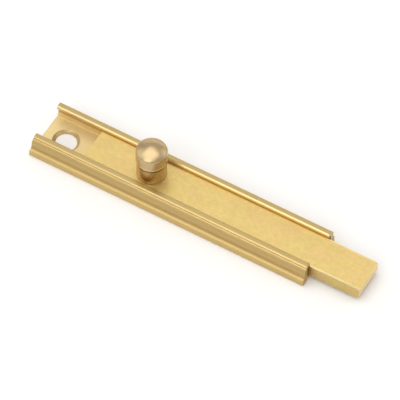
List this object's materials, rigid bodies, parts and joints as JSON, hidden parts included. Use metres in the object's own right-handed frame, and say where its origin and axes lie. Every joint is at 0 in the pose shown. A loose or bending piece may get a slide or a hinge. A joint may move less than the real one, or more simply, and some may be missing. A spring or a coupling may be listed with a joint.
{
  "type": "barrel bolt",
  "caption": "Brass surface slide bolt: a flat bar runs in an extruded lipped channel, is worked by a domed knob and shoots past one end.",
  "frame": {"origin": "middle of the channel's flat back face, where the bolt lies on the door", "axes": "+X along the bar towards its tip, +Y across the channel, +Z out of the door towards the knob"},
  "size_m": [0.1175, 0.0202, 0.0194],
  "materials": {
    "extruded_brass": "satin extruded brass with fine drawing lines along its length",
    "bar_brass": "satin brass, linished along its length",
    "spring_bronze": "rolled bronze strip",
    "turned_brass": "turned and polished brass, lightly tarnished",
    "stud_steel": "turned steel"
  },
  "bodies": {
    "channel": {"channel": "extruded_brass"},
    "bolt": {"bolt_bar": "bar_brass", "friction_spring": "spring_bronze", "knob_collar": "turned_brass", "knob_cap": "turned_brass", "knob_stud": "stud_steel"}
  },
  "joints": [
    {"name": "bolt_slide", "type": "slide", "parent": "channel", "child": "bolt", "axis": [1, 0, 0], "range_m": [-0.0175, 0]}
  ]
}
